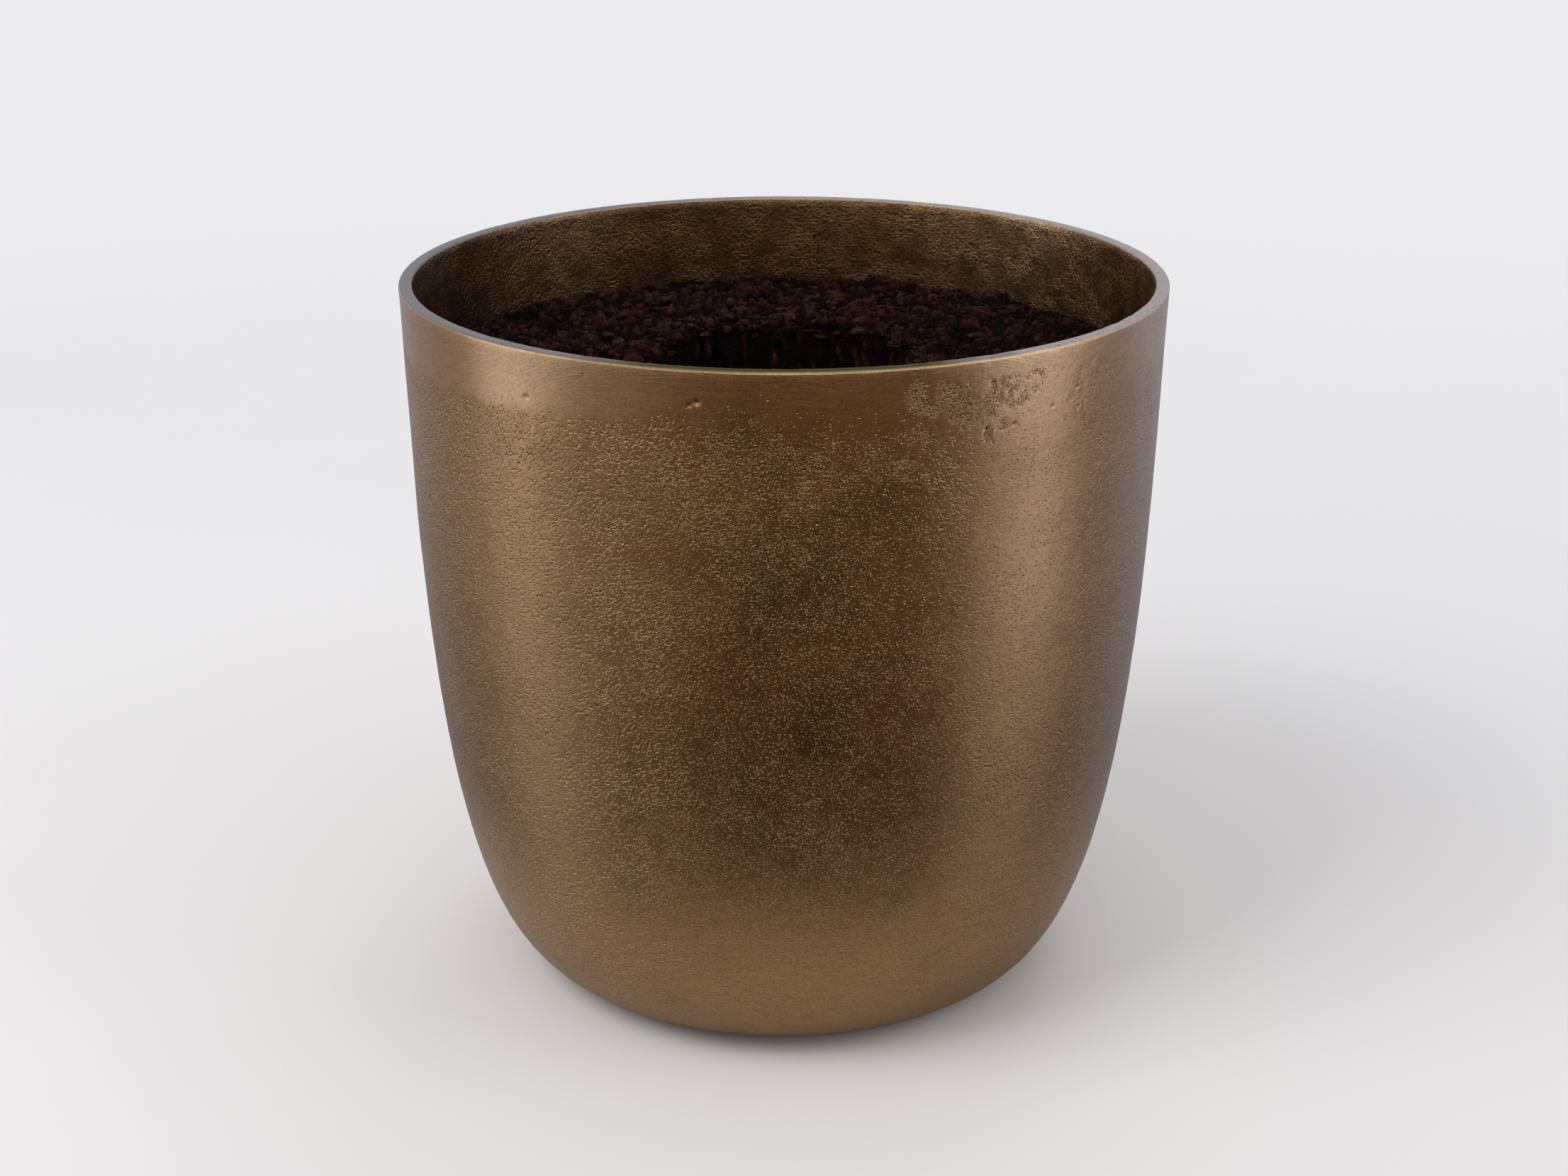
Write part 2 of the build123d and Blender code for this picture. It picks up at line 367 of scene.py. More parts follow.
class Graph:
    """A material's or world's node tree, built by calls that take numbers, colours or sockets."""

    def __init__(self, owner):
        owner.use_nodes = True
        self.tree = owner.node_tree
        self.tree.nodes.clear()

    def node(self, kind, inputs=None, **settings):
        """A new node; its inputs, by name or number, are values or other nodes' sockets."""
        made = self.tree.nodes.new("ShaderNode" + kind)
        for key, value in settings.items():
            setattr(made, key, value)
        for key, value in (inputs or {}).items():
            if isinstance(value, bpy.types.NodeSocket):
                self.tree.links.new(value, made.inputs[key])
            else:
                made.inputs[key].default_value = value
        return made

    def math(self, operation, a, b=0.0, c=0.0, clamp=False):
        return self.node("Math", {0: a, 1: b, 2: c}, operation=operation, use_clamp=clamp).outputs[0]

    def vector(self, operation, a, b=(0, 0, 0)):
        second = "Scale" if operation == "SCALE" else 1
        made = self.node("VectorMath", {0: a, second: b}, operation=operation)
        return made.outputs["Value" if operation in ("DOT_PRODUCT", "LENGTH") else "Vector"]

    def scaled(self, a, by):
        """A vector times another, part by part."""
        return self.vector("MULTIPLY", a, by)

    def axes(self, a):
        """A vector's three parts."""
        return self.node("SeparateXYZ", {0: a}).outputs

    def noise(self, at, scale, detail=2.0, roughness=0.5, distortion=0.0):
        made = self.node("TexNoise", {"Vector": at, "Scale": scale, "Detail": detail,
                                      "Roughness": roughness, "Distortion": distortion})
        return made.outputs[0]

    def step(self, value, low, high, out_low=0.0, out_high=1.0):
        """A smooth step from out_low to out_high as value goes from low to high."""
        return self.node("MapRange", {0: value, 1: low, 2: high, 3: out_low, 4: out_high},
                         interpolation_type="SMOOTHSTEP").outputs[0]

    def mix(self, factor, a, b):
        """A colour that goes from a to b as factor goes from 0 to 1."""
        made = self.node("Mix", data_type="RGBA")
        for index, value in ((0, factor), (6, a), (7, b)):
            if isinstance(value, bpy.types.NodeSocket):
                self.tree.links.new(value, made.inputs[index])
            else:
                made.inputs[index].default_value = value if index == 0 else (*value, 1.0)
        return made.outputs[2]

    def blend(self, factor, a, b):
        """A number that goes from a to b as factor goes from 0 to 1."""
        return self.node("Mix", {0: factor, 2: a, 3: b}, data_type="FLOAT").outputs[0]

    def field(self, name):
        """One of the mesh's per-vertex fields."""
        return self.node("Attribute", attribute_name=name).outputs["Fac"]

    def bump(self, distance, height, strength=1.0):
        """A normal bent by a height, in metres at a height of 1."""
        return self.node("Bump", {"Strength": strength, "Distance": distance, "Height": height}).outputs[0]

    def centred(self, value, by):
        """A 0 to 1 value as a height about zero."""
        return self.math("MULTIPLY", self.math("SUBTRACT", value, 0.5), by)

    def warped(self, at, scale, amount, stretch, offset):
        """Positions pushed about by noise, so that round cells turn into ragged ones."""
        push = self.node("TexNoise", {"Vector": at, "Scale": scale, "Detail": 2.0}).outputs["Color"]
        push = self.scaled(self.vector("SUBTRACT", push, (0.5, 0.5, 0.5)), (amount,) * 3)
        return self.vector("ADD", self.vector("ADD", self.scaled(at, stretch), push), offset)

    def pits(self, at, scale, density, small, large):
        """Ragged pits, 1 at their middle and 0 on the skin between them, in the given share of cells."""
        cells = self.node("TexVoronoi", {"Vector": at, "Scale": scale})
        lot = self.node("SeparateColor", {0: cells.outputs["Color"]})
        radius = self.blend(lot.outputs[1], small, large)
        near = self.math("DIVIDE", cells.outputs["Distance"], radius)
        there = self.step(self.math("SUBTRACT", density, lot.outputs[0]), 0.0, 0.06)
        return self.math("MULTIPLY", self.step(near, 1.0, 0.35), there)

    def dimples(self, at, scale, density, closed, opened, soft_edge):
        """Dents that merge into one another as they lie closer, 1 at their deepest."""
        level = self.blend(density, closed, opened)
        above = self.math("SUBTRACT", self.noise(at, scale, 2.5, 0.55), level)
        return self.step(above, 0.0, soft_edge)

    def surface(self, shader):
        """Makes a shader node's first output the material's surface."""
        out = self.node("OutputMaterial")
        self.tree.links.new(shader.outputs[0], out.inputs["Surface"])


def material(name):
    """A new material, its graph and the position on the piece, in metres."""
    made = bpy.data.materials.new(name)
    graph = Graph(made)
    return made, graph, graph.node("TexCoord").outputs["Object"]


# ---------------------------------------------------------------- brass


def brass_skin(g, at):
    """The fields and patterns of the casting's skin, each 0 to 1 or about zero."""
    s = SimpleNamespace(**{name: g.field(name) for name in FIELDS})
    s.x, s.y, s.z = g.axes(at)
    s.outside = g.math("SUBTRACT", 1.0, s.inside)

    # The skin's grain runs level at the front and rises towards it from the left
    left = g.math("MINIMUM", s.x, 0.0)
    rise = g.math("MULTIPLY", g.math("MULTIPLY", left, left), 2.2)
    rise = g.math("ADD", rise, g.centred(g.noise(at, 14, 1), 0.03))
    s.flow = g.vector("ADD", at, g.node("CombineXYZ", {2: rise}).outputs[0])
    s.rough = g.warped(s.flow, 1900, 0.0004, (1.05, 1.05, 1.05), (0.3, 0.2, 0.1))
    ragged = g.warped(s.flow, 1300, 0.0006, (0.95, 0.95, 1.1), (0, 0, 0))

    # Dents and pits thin out towards the ground band and where the wall is rubbed
    cloud = g.noise(at, 70, 3, 0.65)
    tuft = g.noise(at, 240, 2, 0.5)
    uneven = g.math("ADD", g.centred(cloud, 1.5), g.centred(tuft, 0.9))
    dense = g.math("ADD", s.cast, g.math("MULTIPLY", uneven, g.math("SQRT", s.cast)), clamp=True)
    dense = g.math("MULTIPLY", dense, g.math("MULTIPLY_ADD", s.soft, -0.45, 1.0))
    s.dent = g.dimples(ragged, 930, dense, 0.74, 0.50, 0.15)
    nick = g.dimples(s.rough, 1900, g.math("MULTIPLY_ADD", dense, 0.85, 0.10), 0.76, 0.580, 0.070)
    large = g.pits(ragged, 330, g.math("MULTIPLY_ADD", dense, 0.10, 0.004), 0.09, 0.20)
    many = g.math("MULTIPLY_ADD", tuft, 1.5, g.step(s.x, 0.02, 0.08, -0.15, 0.05))
    dots = g.pits(s.rough, 1000, g.math("MULTIPLY", many, s.cast), 0.15, 0.40)
    pit = g.math("MAXIMUM", g.math("MULTIPLY", nick, 0.8), g.math("MULTIPLY", large, 1.4))
    pit = g.math("MAXIMUM", pit, g.math("MULTIPLY", dots, 1.1))
    strength = g.math("MULTIPLY_ADD", s.soft, -0.15, 1.0)
    s.strength = g.math("MULTIPLY", strength, g.math("MULTIPLY_ADD", s.inside, -0.75, 1.0))
    s.pit = g.math("MULTIPLY", pit, s.strength)
    s.open_pores = g.dimples(s.rough, 1750, s.pores, 0.80, 0.43, 0.13)

    # Creases on the inside and level brush marks on the ground band
    ridge = g.math("ABSOLUTE", g.centred(g.noise(s.rough, 520, 2.0, 0.5, 0.3), 2.0))
    s.crease = g.math("MULTIPLY", g.step(ridge, 0.30, 0.0), g.step(cloud, 0.34, 0.62, 0.35, 1.0))
    tilt = g.node("CombineXYZ", {2: g.centred(g.noise(at, 30, 1), 0.006)}).outputs[0]
    tilted = g.scaled(g.vector("ADD", s.flow, tilt), (120, 120, 2400))
    s.streak = g.centred(g.noise(tilted, 1.0, 4, 0.7), 1.0)
    return s


def brass_relief(g, at, s):
    """The skin's height, in units of the bump's distance."""
    side = g.step(s.x, -0.005, -0.075, 0.34, 1.5)  # the dents are strongest at the left
    side = g.math("ADD", side, g.step(s.x, 0.03, 0.09, 0.0, 1.0))
    clouded = g.step(g.noise(g.vector("ADD", at, (9, 4, 4)), 34, 2), 0.38, 0.62, 0.65, 1.3)
    relief = g.math("MULTIPLY", side, clouded)
    dent = g.math("MULTIPLY", g.math("MULTIPLY", s.dent, s.strength), relief)
    peel = g.centred(g.noise(s.flow, 300, 2), 0.7)
    peel = g.math("MULTIPLY", peel, g.math("MULTIPLY_ADD", s.cast, 0.9, 0.05))
    fine = g.centred(g.noise(s.rough, 2600, 2, 0.6), 0.22)
    fine = g.math("MULTIPLY", fine, g.math("MULTIPLY_ADD", s.cast, 0.6, 0.4))
    swell = g.centred(g.noise(at, 90, 2), 0.5)
    near_rim = g.step(s.z, RIM_Z - 0.014, RIM_Z - 0.001, 0.6, 1.0)
    brushed = g.math("MULTIPLY", s.streak, g.math("MULTIPLY", near_rim, 0.55))
    height = g.math("MULTIPLY_ADD", dent, -0.66, g.math("ADD", peel, fine))
    height = g.math("MULTIPLY_ADD", s.pit, -0.75, height)
    height = g.math("MULTIPLY_ADD", s.open_pores, -1.4, g.math("ADD", height, swell))
    height = g.math("MULTIPLY_ADD", g.math("MULTIPLY", s.crease, s.inside), 0.6, height)
    return g.math("ADD", height, g.math("MULTIPLY", brushed, g.math("SUBTRACT", 1.0, s.cast)))


def brass_patina(g, at, s):
    """Warm brown brass, with olive and reddish patina in clouds, and pits and pores darkened by patina and
    painted shade.
    """
    warm = g.mix(g.step(g.noise(at, 11, 3), 0.35, 0.65), (0.61, 0.385, 0.205), (0.55, 0.335, 0.172))
    unrubbed = g.math("MULTIPLY_ADD", s.soft, -0.8, 1.0)
    worn = g.mix(g.math("MULTIPLY", s.cast, unrubbed), warm, (0.47, 0.275, 0.118))
    spot = g.vector("SUBTRACT", at, (0.012, -RIM_R, RIM_Z - 0.068))  # the stain at the lower centre
    spot = g.vector("LENGTH", g.scaled(spot, (1.0, 0.3, 0.8)))
    stain = g.noise(g.vector("ADD", at, (5, 2, 1)), 30, 4, 0.65)
    stain = g.math("ADD", stain, g.step(spot, 0.060, 0.012, 0.0, 0.15))
    olive = g.math("MULTIPLY", g.step(stain, 0.52, 0.78), g.math("MULTIPLY_ADD", s.cast, 0.85, 0.10))
    olive = g.math("MULTIPLY", olive, g.step(s.x, 0.035, 0.07, 1.0, 0.35))
    olive = g.math("MULTIPLY", olive, g.step(s.x, -0.045, -0.085, 1.0, 0.45))
    tone = g.mix(g.math("MULTIPLY", olive, 0.90), worn, (0.24, 0.195, 0.08))
    red = g.step(g.noise(g.vector("ADD", at, (1, 7, 3)), 48, 4, 0.6), 0.54, 0.72)
    tone = g.mix(g.math("MULTIPLY", g.math("MULTIPLY", red, s.cast), 0.40), tone, (0.44, 0.215, 0.10))
    # dark patina in the pits and open pores, deepened as painted shade
    tone = g.mix(g.math("MULTIPLY", s.pit, 0.75), tone, (0.22, 0.125, 0.055))
    return g.mix(g.math("MULTIPLY", s.open_pores, 0.60), tone, (0.20, 0.12, 0.06))


def brass_painted_light(g, s, tone, bump):
    """Painted shade under the dents' upper lips, painted highlights on their lower lips, and a pale painted
    reflection at the right.
    """
    level = g.axes(g.node("NewGeometry").outputs["Normal"])[2]
    facing_up = g.math("SUBTRACT", g.axes(bump)[2], level)
    # painted shade where the bumped surface faces down, under the dents' upper lips
    shadow = g.step(facing_up, -0.02, -0.24, 0.0, 0.75)
    tone = g.mix(g.math("MULTIPLY", shadow, s.outside), tone, (0.12, 0.066, 0.028))
    # painted highlight where the bumped surface faces up, on the dents' lower lips, weaker at the right and
    # in the pores
    lit = g.step(s.x, 0.03, 0.075, 1.0, 0.15)
    glint = g.math("MULTIPLY", g.step(facing_up, 0.10, 0.34, 0.0, 0.65), lit)
    glint = g.math("MULTIPLY", glint, g.math("MULTIPLY_ADD", s.pores, -0.6, 1.0))
    tone = g.mix(g.math("MULTIPLY", glint, s.outside), tone, (0.84, 0.60, 0.32))
    # painted reflection: a pale grey haze towards the right edge of the outer wall
    grazing_reflection = g.math("MULTIPLY", g.step(s.x, 0.085, 0.127, 0.0, 0.35), s.outside)
    return g.mix(grazing_reflection, tone, (0.52, 0.43, 0.39))


def brass_inside(g, at, s):
    """The inner wall's tone: dark, mottled and creased, its darkness partly painted shade, and brighter to
    the right with painted light.
    """
    mottle = g.step(g.noise(g.scaled(at, (1, 1, 1.8)), 120, 4, 0.6), 0.35, 0.65)
    dark = g.mix(mottle, (0.10, 0.058, 0.028), (0.22, 0.132, 0.064))
    creased = g.math("MULTIPLY", s.crease, g.math("MULTIPLY_ADD", mottle, 0.35, 0.35))
    dark = g.mix(creased, dark, (0.46, 0.30, 0.15))
    # painted light and shade: the inner wall lighter to the right and darker to the left
    return g.vector("SCALE", dark, g.step(s.x, -0.06, 0.09, 0.55, 1.6))


def brass_lip(g, at, s, front):
    """The ground lip's tone: greyish with worn specks, lighter to the right with painted reflection, and a
    dark olive painted reflection where front is 1.
    """
    # greyish ground metal, lighter to the right as painted reflection
    lip = g.mix(g.step(s.x, -0.09, 0.07), (0.26, 0.225, 0.18), (0.50, 0.415, 0.325))
    specks = g.step(g.noise(g.vector("ADD", at, (3, 3, 3)), 420, 4, 0.65), 0.56, 0.66)
    lip = g.mix(g.math("MULTIPLY", specks, 0.55), lip, (0.17, 0.135, 0.10))
    # painted reflection: dark olive at the front of the lip
    return g.mix(front, lip, (0.18, 0.155, 0.090))


def brass_material():
    """Cast brass: a pitted outside, a ground band and lip, and a dark creased inside whose darkness is partly
    painted shade.
    """
    made, g, at = material("cast_brass")
    s = brass_skin(g, at)
    bump = g.bump(0.00013, brass_relief(g, at, s))
    front = g.math("ADD", s.y, g.centred(g.noise(at, 40, 3, 0.6), 0.03))
    front = g.step(front, -0.104, -0.127)

    tone = brass_painted_light(g, s, brass_patina(g, at, s), bump)
    # the inner wall's dark tone, partly painted shade
    tone = g.mix(g.math("MULTIPLY", s.inside, 0.75), tone, brass_inside(g, at, s))
    grain = g.centred(g.noise(s.rough, 1100, 2, 0.6), 0.75)
    grain = g.math("ADD", g.math("MULTIPLY", s.streak, 0.75), grain)
    tone = g.vector("SCALE", tone, g.math("ADD", grain, 1.0))
    tone = g.mix(s.rim, tone, brass_lip(g, at, s, front))

    dull = g.math("MULTIPLY_ADD", g.noise(at, 34, 3), 0.08, 0.25)
    dull = g.math("MULTIPLY_ADD", s.cast, 0.03, dull)
    dull = g.math("MULTIPLY_ADD", s.rim, 0.12, dull)
    # painted reflection: the front of the lip tints its reflections dark olive
    edge = g.mix(g.math("MULTIPLY", s.rim, front), (1.0, 1.0, 1.0), (0.30, 0.28, 0.18))
    shader = g.node("BsdfPrincipled", {"Base Color": tone, "Metallic": 1.0, "Roughness": dull,
                                       "Specular Tint": edge, "Normal": bump})
    g.surface(shader)
    return made


pot_piece.data.materials.append(brass_material())


# ---------------------------------------------------------------- soil

soil_low, soil_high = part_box("potting_soil")
soil_loop = section("potting_soil")
ABOVE_FLOOR = soil_low.z + 10 * MM
POCKET_R = min(p[0] for p in soil_loop if p[1] > soil_high.z - 30 * MM)
POCKET_Z = min(p[1] for p in soil_loop if p[0] < POCKET_R + 0.1 * MM and p[1] > ABOVE_FLOOR)
LINER_RIM_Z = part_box("liner")[1].z
SPILL_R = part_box("liner")[1].x - 0.9 * MM  # how far the soil spills over the liner's rim
SOIL_R = max(p[0] for p in soil_loop)
SOIL_REACH = 5.3 * MM  # soil comes no nearer to the outer wall than this: the wall and a gap
AXIS_R = 0.4 * MM  # the innermost rows' radius; a fan of faces closes them
SOIL_COLUMNS = 500
CLOD_SEED = 5
CRUMB_SEED, CRUMB_COUNT = 23, 3000
CRUMB_SIZES = (0.5, 0.7, 0.7, 1.0, 1.0, 1.4, 2.0)  # mm


def clear_of_wall(p):
    """The point, moved towards the axis where it would touch the pot's inner wall."""
    inward = min(1.0, (outer_radius(p.z) - SOIL_REACH) / max(p.xy.length, 1e-6))
    return Vector((p.x * inward, p.y * inward, p.z))


def soil_section():
    """The soil's section, from the pocket's floor up, over the surface, down the side and under."""
    z_bottom = soil_low.z
    r_bottom = max(p[0] for p in soil_loop if p[1] < z_bottom + 0.1 * MM)
    line = [(AXIS_R, POCKET_Z), (POCKET_R, POCKET_Z), (POCKET_R, soil_high.z - 2 * MM),
            (POCKET_R + 3 * MM, soil_high.z + 0.6 * MM), (POCKET_R + 12 * MM, soil_high.z + 0.6 * MM),
            (SOIL_R, LINER_RIM_Z + 2.4 * MM), (SPILL_R - 1.2 * MM, LINER_RIM_Z + 1.5 * MM),
            (SPILL_R, LINER_RIM_Z + 0.5 * MM), (SPILL_R - 1 * MM, LINER_RIM_Z + 0.1 * MM),
            (SOIL_R, LINER_RIM_Z + 0.1 * MM), (SOIL_R, LINER_RIM_Z - 1.5 * MM),
            (r_bottom, z_bottom), (AXIS_R, z_bottom)]

    def step(p):
        if p[1] > soil_high.z - 8 * MM:
            return 0.9 * MM
        return 3.2 * MM if p[0] < POCKET_R + 1 * MM and p[1] > ABOVE_FLOOR else 9 * MM

    return resample(line, step)


def soil_body():
    """The soil's section revolved, with half the columns where the liner hides it."""
    outline = soil_section()
    hidden = [p[0] > SOIL_R - 2 * MM and p[1] < LINER_RIM_Z - 3 * MM for p in outline]
    fine = hidden.index(True)
    rows = [(r, z, SOIL_COLUMNS if i < fine else SOIL_COLUMNS // 2) for i, (r, z) in enumerate(outline)]
    soil = revolve(rows, closed=False)
    soil.verts.ensure_lookup_table()
    pocket_floor = soil.verts[:SOIL_COLUMNS]
    underside = soil.verts[-(SOIL_COLUMNS // 2):]
    for ring in (pocket_floor, underside):
        centre = soil.verts.new(sum((v.co for v in ring), Vector()) / len(ring))
        for a, b in zip(ring, ring[1:] + ring[:1]):
            soil.faces.new((centre, b, a))
    bmesh.ops.recalc_face_normals(soil, faces=soil.faces)
    soil.normal_update()
    return soil


def on_top(p):
    """1 on the soil's surface, 0 below it, for a point of the soil."""
    return smooth(soil_high.z - 10 * MM, soil_high.z - 3 * MM, p.z)


def in_pocket(p):
    """Whether a point belongs to the planting pocket."""
    return p.xy.length < POCKET_R + 1.5 * MM


def clod_height(p, big, small):
    """How far a point of the soil stands out, in mm; big and small say how far it is from a clod's middle."""
    radius = p.xy.length
    if p.z < LINER_RIM_Z + 0.3 * MM and radius > POCKET_R + 8 * MM:
        return 0.0  # it lies against the liner
    clods = 6.0 * (0.40 - big) + 4.4 * (0.36 - small) + 4.4 * noise.noise(p * 42)
    clods += 2.2 * noise.noise(p * 420) + 1.4 * noise.noise(p * 900)
    if on_top(p) > 0:
        clods *= 1.0 - 0.55 * smooth(SOIL_R - 5 * MM, SPILL_R, radius)
    if in_pocket(p) and p.z < soil_high.z - 3 * MM:
        clods = (clods * 0.55 - 0.3) * smooth(0.0, 8 * MM, radius)
    return clods


def crumble_soil(soil):
    """Breaks the soil's surface up into clods; returns how much light gets to each vertex, 0 to 1."""
    noise.seed_set(CLOD_SEED)  # noise_vector starts from the clock otherwise
    shade = []
    for v in soil.verts:
        p = v.co.copy()
        push = noise.noise_vector(p * 210) * 0.6
        flat = Vector((p.x * 0.8, p.y * 1.1, p.z))
        big, small = (noise.voronoi(flat * scale + push)[0][0] for scale in (120, 290))
        lit = 1.25 - 0.9 * big - 1.2 * small + 0.5 * noise.noise(p * 420)
        shade.append(min(1.0, max(0.0, lit)))
        v.co = p + v.normal * clod_height(p, big, small) * MM
        mouth = math.exp(-((p.xy.length - POCKET_R - 2 * MM) / (9 * MM)) ** 2) * on_top(p)
        v.co.z += mouth * 1.6 * MM * (0.4 + noise.noise(p * 26))
        if in_pocket(p):
            drift = 1 + 0.035 * noise.noise(Vector((p.x * 22, p.y * 22, p.z * 8)))
            v.co.xy *= min(drift, 1.02)
        if on_top(p) > 0:
            v.co = clear_of_wall(v.co)
    return shade


def soil_crumbs(soil):
    """Loose crumbs and fibres on a soil mesh's surface and on its pocket's floor."""
    points = [v.co.copy() for v in soil.vertices]
    resting = [p for p in points if p.z > soil_high.z - 7 * MM]
    resting += [p for p in points if p.z < POCKET_Z + 3 * MM and 6 * MM < p.xy.length < POCKET_R]
    rng = random.Random(CRUMB_SEED)
    crumbs = bmesh.new()
    for _ in range(CRUMB_COUNT):
        p = rng.choice(resting)
        size = rng.choice(CRUMB_SIZES) * rng.uniform(0.8, 1.3) * MM
        made = bmesh.ops.create_icosphere(crumbs, subdivisions=1, radius=size)
        stretch = Vector((rng.uniform(0.7, 1.5), rng.uniform(0.6, 1.1), rng.uniform(0.5, 0.9)))
        if size < 0.9 * MM and rng.random() < 0.22:  # a fibre
            stretch = Vector((rng.uniform(4.0, 8.0), 0.5, 0.5))
        turn = Matrix.Rotation(rng.uniform(0, math.tau), 3, "Z")
        for v in made["verts"]:
            q = v.co * rng.uniform(0.72, 1.25)
            q = turn @ Vector((q.x * stretch.x, q.y * stretch.y, q.z * stretch.z))
            v.co = clear_of_wall(p + q + Vector((0, 0, size * 0.3)))
    mesh = bpy.data.meshes.new("soil_crumbs")
    crumbs.to_mesh(mesh)
    crumbs.free()
    return mesh


bed = soil_body()
# the clod field is painted shade: how much light each vertex of the bed gets
soil_mesh = finish_mesh(bed, "soil", {"clod": crumble_soil(bed)})
soil_piece = link("soil_bed", soil_mesh, "liner")
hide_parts("potting_soil")
crumb_piece = link("soil_crumbs", soil_crumbs(soil_mesh), "liner")


def soil_material(name, loose):
    """Dark red-brown peat, its darkness partly painted shade; the bed has painted shade in the gaps between
    its clods, the loose crumbs are paler.
    """
    made, g, at = material(name)
    clumps = g.noise(at, 150, 4, 0.6)
    fine = g.noise(at, 900, 3, 0.65)
    fibre = g.noise(g.scaled(g.vector("ADD", at, (2, 0, 4)), (1.0, 2.4, 1.6)), 110, 4, 0.65)
    # dark peat tones, partly painted shade
    tone = g.mix(g.step(clumps, 0.35, 0.65), (0.016, 0.0056, 0.0042), (0.044, 0.0160, 0.0120))
    tone = g.mix(g.step(fibre, 0.52, 0.72), tone, (0.058, 0.0185, 0.0140))
    tone = g.mix(g.math("MULTIPLY", g.step(fine, 0.60, 0.75), 0.5), tone, (0.075, 0.040, 0.028))
    if loose:
        tone = g.mix(g.step(g.noise(at, 330, 1), 0.55, 0.72), tone, (0.055, 0.027, 0.017))
    else:
        # painted shade: darker in the gaps between clods and lighter on their tops
        tone = g.vector("SCALE", tone, g.step(g.field("clod"), 0.25, 0.75, 0.18, 1.25))
    height = g.math("MULTIPLY_ADD", g.noise(at, 420, 3, 0.6), 1.2, fine)
    dull = g.math("MULTIPLY_ADD", fine, 0.2, 0.8)
    shader = g.node("BsdfPrincipled", {"Base Color": tone, "Roughness": dull, "Specular IOR Level": 0.08,
                                       "Normal": g.bump(0.0020, height)})
    g.surface(shader)
    return made


soil_piece.data.materials.append(soil_material("soil", False))
crumb_piece.data.materials.append(soil_material("soil_loose", True))


# ---------------------------------------------------------------- liner, plug and pads


def repaint(node, made):
    """Puts a material on a carried-over CAD node."""
    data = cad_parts[node].data
    data.materials.clear()
    data.materials.append(made)
    data.polygons.foreach_set("material_index", [0] * len(data.polygons))


def plastic_material():
    """Black plastic, scuffed up and down, with soil dust that thickens towards the rim."""
    made, g, at = material("liner_plastic")
    cloud = g.noise(at, 26, 4, 0.6)
    tone = g.mix(cloud, (0.012, 0.012, 0.013), (0.030, 0.029, 0.028))
    high = g.axes(at)[2]
    dust = g.step(g.noise(at, 170, 5, 0.7), 0.50, 0.68)
    dust = g.math("MULTIPLY", g.step(high, LINER_RIM_Z - 0.06, LINER_RIM_Z, 0.25, 1.0), dust)
    tone = g.mix(g.math("MULTIPLY", dust, 0.7), tone, (0.085, 0.050, 0.034))
    scuffs = g.step(g.noise(g.scaled(at, (220, 220, 14)), 1.0, 3, 0.6), 0.62, 0.72)
    tone = g.mix(g.math("MULTIPLY", scuffs, 0.35), tone, (0.075, 0.073, 0.070))
    stipple = g.noise(at, 1500, 2)
    bump = g.bump(0.00008, g.math("MULTIPLY_ADD", dust, 1.5, stipple), 0.6)
    dull = g.math("MULTIPLY_ADD", dust, 0.3, g.math("MULTIPLY_ADD", cloud, 0.14, 0.40))
    g.surface(g.node("BsdfPrincipled", {"Base Color": tone, "Roughness": dull, "Normal": bump}))
    return made


def rubber_material():
    """Black rubber with a pale bloom and faint moulding rings."""
    made, g, at = material("plug_rubber")
    tone = g.mix(g.noise(at, 90, 4, 0.6), (0.018, 0.017, 0.017), (0.040, 0.038, 0.036))
    bloom = g.step(g.noise(at, 240, 4, 0.7), 0.52, 0.72)
    tone = g.mix(g.math("MULTIPLY", bloom, 0.45), tone, (0.11, 0.10, 0.09))
    rings = g.math("SINE", g.math("MULTIPLY", g.vector("LENGTH", g.scaled(at, (1, 1, 0))), 5200))
    height = g.math("MULTIPLY_ADD", g.noise(at, 1800, 2), 0.8, g.math("MULTIPLY", rings, 0.25))
    dull = g.math("MULTIPLY_ADD", bloom, 0.15, 0.66)
    bump = g.bump(0.0001, height, 0.5)
    g.surface(g.node("BsdfPrincipled", {"Base Color": tone, "Roughness": dull, "Normal": bump}))
    return made


repaint("liner", plastic_material())
repaint("drain_plug", rubber_material())

PAD_R = 9.5 * MM
PAD_COLUMNS = 72
PAD_SECTION = [  # (share of the radius, share of the height), from the floor up
    (0.0, 0.0), (0.5, 0.0), (0.85, 0.0), (0.955, 0.10), (0.99, 0.35),
    (1.0, 0.62), (0.99, 0.9), (0.97, 1.0), (0.6, 1.0), (0.0, 1.0),
]


def felt_disc(bm, middle, high):
    """Adds a disc with a rounded, slightly squashed rim and a matted, uneven edge."""
    turns = [math.tau * j / PAD_COLUMNS for j in range(PAD_COLUMNS)]
    ways = [Vector((math.sin(t), -math.cos(t), 0)) for t in turns]
    rows = []
    for share, rise in PAD_SECTION:
        ring = []
        for out in ways if share else ways[:1]:
            p = middle + out * PAD_R * share
            p.z = rise * high
            fuzz = noise.noise(p * 900) * 0.22 + noise.noise(p * 300) * 0.15
            ring.append(bm.verts.new(p + out * fuzz * MM if share > 0.9 else p))
        rows.append(ring)
    for a, b in zip(rows, rows[1:]):
        for j in range(PAD_COLUMNS):
            k = (j + 1) % PAD_COLUMNS
            corners = (a[j % len(a)], a[k % len(a)], b[k % len(b)], b[j % len(b)])
            bm.faces.new(list(dict.fromkeys(corners)))  # three corners at the disc's middle


